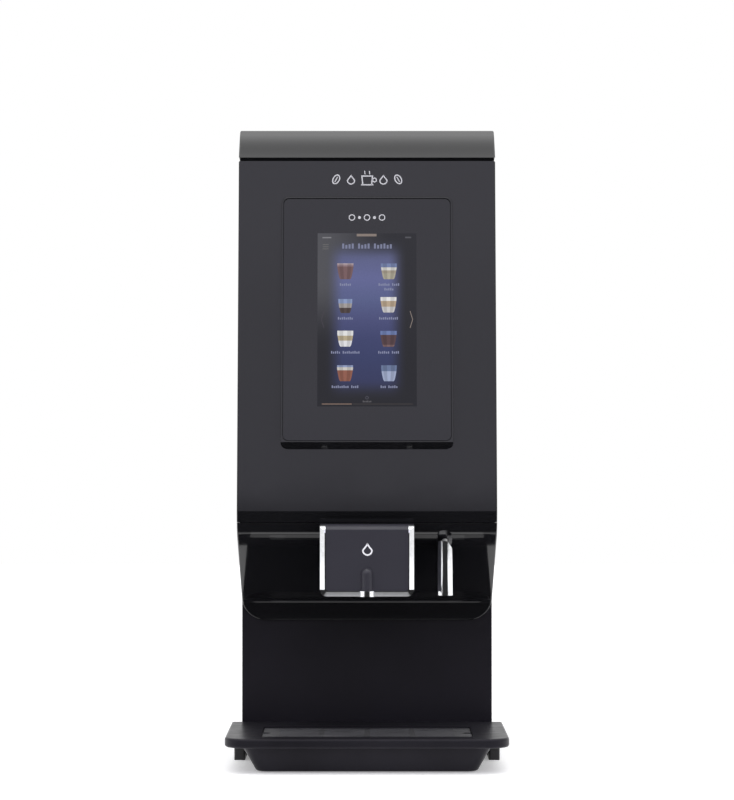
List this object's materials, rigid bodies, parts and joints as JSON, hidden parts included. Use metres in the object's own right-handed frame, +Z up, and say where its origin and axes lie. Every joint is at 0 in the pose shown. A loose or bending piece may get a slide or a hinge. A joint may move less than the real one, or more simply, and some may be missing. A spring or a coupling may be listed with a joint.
{
  "type": "hot coffee vending machine",
  "caption": "Narrow table-top hot drinks machine with a touch-screen door, a covered spout, a hot water outlet and a wide slide-out drip tray.",
  "frame": {"origin": "centre of the machine's footprint, tray and rear fittings included, on the surface it stands on", "axes": "+Z up, -Y towards the customer (the door's side), +X to the right seen from the front"},
  "size_m": [0.281, 0.5, 0.645],
  "materials": {
    "sheet_steel": "zinc-plated folded sheet, satin",
    "black_paint": "fine matt black powder coat",
    "steel_fittings": "zinc-plated steel, satin",
    "gloss_black": "deep gloss black moulded plastic",
    "rubber": "matt black rubber",
    "satin_black": "satin black moulded plastic",
    "cover_grey": "dark grey semi-gloss plastic",
    "bright_trim": "bright chrome plating",
    "white_plastic": "satin natural plastic",
    "lid_black": "satin black plastic",
    "motor_metal": "zinc-plated motor cans",
    "silicone_hose": "milky silicone hose, satin",
    "valve_plastic": "moulded nylon valve bodies",
    "boiler_jacket": "grey foam insulation jacket",
    "copper_pipe": "bright copper pipe",
    "inlet_brass": "nickel-free machined brass",
    "circuit_board": "green solder-masked circuit board",
    "screen_glass": "black-printed touch glass, polished",
    "display_back": "pressed display frame, satin",
    "tray_black": "fine-textured satin black plastic",
    "grille_steel": "brushed dark stainless steel",
    "rocker_red": "red rocker key",
    "canister_clear": "frosted translucent plastic",
    "mixer_clear": "frosted translucent plastic"
  },
  "bodies": {
    "cabinet": {"base_plate": "sheet_steel", "side_panel_left": "black_paint", "side_panel_right": "black_paint", "rear_panel": "black_paint", "rear_screws": "steel_fittings", "roof_cap": "gloss_black", "lower_front_panel": "black_paint", "feet": "rubber", "tray_rails": "satin_black", "bulkhead": "sheet_steel", "canister_shelf": "sheet_steel", "dispense_head": "gloss_black", "spout_cover": "cover_grey", "spout_trim": "bright_trim", "nozzle_block": "white_plastic", "hot_water_outlet": "bright_trim", "hinge_brackets": "steel_fittings", "hinge_pins": "steel_fittings", "lock_strike": "steel_fittings", "canister_lids": "lid_black", "auger_motors": "motor_metal", "outlet_elbows": "white_plastic", "whipper_motors": "motor_metal", "product_hoses": "silicone_hose", "water_valves": "valve_plastic", "water_tubes": "silicone_hose", "boiler": "boiler_jacket", "copper_pipes": "copper_pipe", "inlet_valve": "valve_plastic", "water_inlet": "inlet_brass", "power_inlet": "satin_black", "power_supply": "sheet_steel", "control_board": "circuit_board", "fan_frame": "satin_black", "canister_coffee": "canister_clear", "canister_milk": "canister_clear", "canister_chocolate": "canister_clear", "mixing_bowl_left": "mixer_clear", "mixing_bowl_middle": "mixer_clear", "mixing_bowl_right": "mixer_clear"},
    "door": {"door_shell": "gloss_black", "screen_bezel": "gloss_black", "touch_glass": "screen_glass", "display_module": "display_back", "display_board": "circuit_board", "display_cover": "satin_black", "lock_body": "bright_trim", "hinge_bushes": "white_plastic"},
    "lock": {"lock_cam": "bright_trim"},
    "tray": {"drip_tray": "tray_black", "tray_plate": "tray_black"},
    "grille": {"drip_grille": "grille_steel"},
    "fan": {"fan_rotor": "satin_black"},
    "rocker": {"power_rocker": "rocker_red"},
    "auger_coffee": {"auger_coffee": "white_plastic"},
    "auger_milk": {"auger_milk": "white_plastic"},
    "auger_chocolate": {"auger_chocolate": "white_plastic"},
    "whipper_left": {"whipper_left": "white_plastic"},
    "whipper_middle": {"whipper_middle": "white_plastic"},
    "whipper_right": {"whipper_right": "white_plastic"}
  },
  "joints": [
    {"name": "door_hinge", "type": "hinge", "parent": "cabinet", "child": "door", "pos_m": [-0.123, -0.091, 0.43], "axis": [0, 0, -1], "range_deg": [0, 95]},
    {"name": "lock_turn", "type": "hinge", "parent": "door", "child": "lock", "pos_m": [0.12, -0.106, 0.36], "axis": [-1, 0, 0], "range_deg": [0, 90]},
    {"name": "tray_slide", "type": "slide", "parent": "cabinet", "child": "tray", "axis": [0, -1, 0], "range_m": [0, 0.12]},
    {"name": "grille_lift", "type": "slide", "parent": "tray", "child": "grille", "axis": [0, 0, 1], "range_m": [0, 0.06]},
    {"name": "fan_spin", "type": "hinge", "parent": "cabinet", "child": "fan", "pos_m": [0.062, 0.23, 0.556], "axis": [0, 1, 0], "continuous": true},
    {"name": "power_rock", "type": "hinge", "parent": "cabinet", "child": "rocker", "pos_m": [0.04, 0.2355, 0.06], "axis": [0, 0, -1], "range_deg": [0, 16]},
    {"name": "auger_coffee_spin", "type": "hinge", "parent": "cabinet", "child": "auger_coffee", "pos_m": [-0.078, -0.082, 0.394], "axis": [0, 1, 0], "continuous": true},
    {"name": "auger_milk_spin", "type": "hinge", "parent": "cabinet", "child": "auger_milk", "pos_m": [0, -0.082, 0.394], "axis": [0, 1, 0], "continuous": true},
    {"name": "auger_chocolate_spin", "type": "hinge", "parent": "cabinet", "child": "auger_chocolate", "pos_m": [0.078, -0.082, 0.394], "axis": [0, 1, 0], "continuous": true},
    {"name": "whipper_left_spin", "type": "hinge", "parent": "cabinet", "child": "whipper_left", "pos_m": [-0.078, -0.112, 0.285], "axis": [0, 1, 0], "continuous": true},
    {"name": "whipper_middle_spin", "type": "hinge", "parent": "cabinet", "child": "whipper_middle", "pos_m": [0, -0.112, 0.285], "axis": [0, 1, 0], "continuous": true},
    {"name": "whipper_right_spin", "type": "hinge", "parent": "cabinet", "child": "whipper_right", "pos_m": [0.078, -0.112, 0.285], "axis": [0, 1, 0], "continuous": true}
  ]
}
